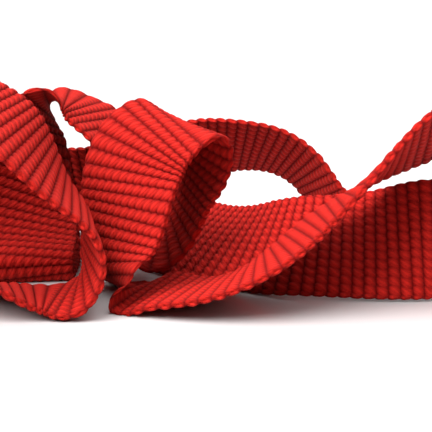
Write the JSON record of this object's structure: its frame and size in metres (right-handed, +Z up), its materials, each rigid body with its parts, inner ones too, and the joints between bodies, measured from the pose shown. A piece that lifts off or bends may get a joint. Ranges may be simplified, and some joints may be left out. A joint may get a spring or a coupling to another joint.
{
  "type": "length of webbing",
  "caption": "Thick ribbed red cotton webbing with two plain cut ends, lying in loose upright loops, arches and folds on a flat surface.",
  "frame": {"origin": "middle of the heap's footprint, on the surface it lies on", "axes": "+Z up from the surface, +X along the heap's longest side, -Y towards the viewer of the picture"},
  "size_m": [0.2382, 0.1188, 0.0646],
  "materials": {
    "red_cotton": "matt woven cotton with crosswise ribs"
  },
  "bodies": {
    "root": {"webbing": "red_cotton"}
  },
  "joints": []
}
